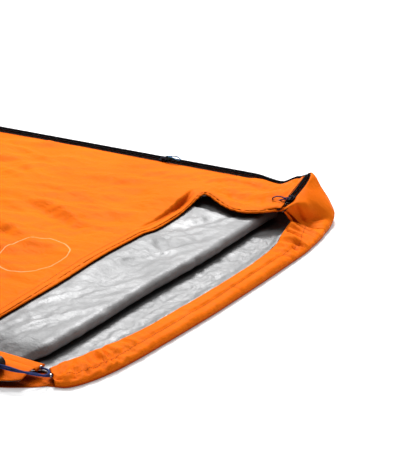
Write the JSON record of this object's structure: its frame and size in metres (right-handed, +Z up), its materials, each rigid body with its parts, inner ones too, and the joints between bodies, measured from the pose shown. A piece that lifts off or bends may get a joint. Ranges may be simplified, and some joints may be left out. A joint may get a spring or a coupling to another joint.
{
  "type": "bivy sack",
  "caption": "Rectangular one-person bivy sack lying flat, with an open drawcord mouth, reflective lining, and a side zip with two cord-pull sliders.",
  "frame": {"origin": "centre of the bounding box at ground level, under the sack", "axes": "+X along the sack towards the head and mouth, +Y towards the zipped side, +Z up"},
  "size_m": [2.13, 0.81, 0.0681],
  "materials": {
    "shell_orange": "coated plain-weave shell, satin",
    "film_silver": "aluminised film, crinkled",
    "binding_orange": "folded binding tape",
    "zip_black": "woven zip tape",
    "coil_black": "moulded nylon coil",
    "slider_metal": "black enamel",
    "cord_navy": "braided cord",
    "cord_blue": "braided cord",
    "eyelet_metal": "satin",
    "lock_plastic": "moulded",
    "lock_button": "moulded",
    "spring_steel": "drawn wire",
    "stop_metal": "pressed"
  },
  "bodies": {
    "sack": {"floor_shell": "shell_orange", "floor_lining": "film_silver", "top_shell": "shell_orange", "top_lining": "film_silver", "side_panel": "shell_orange", "mouth_hem_top": "shell_orange", "mouth_hem_floor": "shell_orange", "side_seam_binding": "binding_orange", "foot_seam_binding": "binding_orange", "drawcord": "cord_navy", "drawcord_eyelets": "eyelet_metal", "cord_lock_barrel": "lock_plastic", "cord_lock_spring": "spring_steel", "zip_tape_upper": "zip_black", "zip_tape_lower": "zip_black", "zip_coil_upper": "coil_black", "zip_coil_lower": "coil_black", "zip_top_stops": "stop_metal", "zip_bottom_stop": "stop_metal"},
    "lock_button": {"cord_lock_plunger": "lock_button"},
    "head_slider": {"head_slider": "slider_metal"},
    "head_pull": {"head_pull_tab": "slider_metal", "head_pull_knot": "cord_navy", "head_pull_cord": "cord_navy"},
    "foot_slider": {"foot_slider": "slider_metal"},
    "foot_pull": {"foot_pull_tab": "slider_metal", "foot_pull_knot": "cord_blue", "foot_pull_cord": "cord_blue"}
  },
  "joints": [
    {"name": "head_slider_travel", "type": "slide", "parent": "sack", "child": "head_slider", "axis": [0.042, -0.9668, -0.2522], "range_m": [-0.042, 0.004]},
    {"name": "head_pull_swing", "type": "hinge", "parent": "head_slider", "child": "head_pull", "pos_m": [0.99658, 0.30473, 0.05271], "axis": [-0.9991, -0.0434, 0], "range_deg": [0, 140]},
    {"name": "foot_slider_travel", "type": "slide", "parent": "sack", "child": "foot_slider", "axis": [1, 0, 0], "range_m": [-0.99, 0.155]},
    {"name": "foot_pull_swing", "type": "hinge", "parent": "foot_slider", "child": "foot_pull", "pos_m": [0.707, 0.38789, 0.04653], "axis": [0, -0.9063, -0.4226], "range_deg": [0, 110]},
    {"name": "lock_button_press", "type": "slide", "parent": "sack", "child": "lock_button", "axis": [0, 1, 0], "range_m": [0, 0.003], "stiffness_N_per_m": 1500, "deforming": ["cord_lock_spring"]}
  ]
}
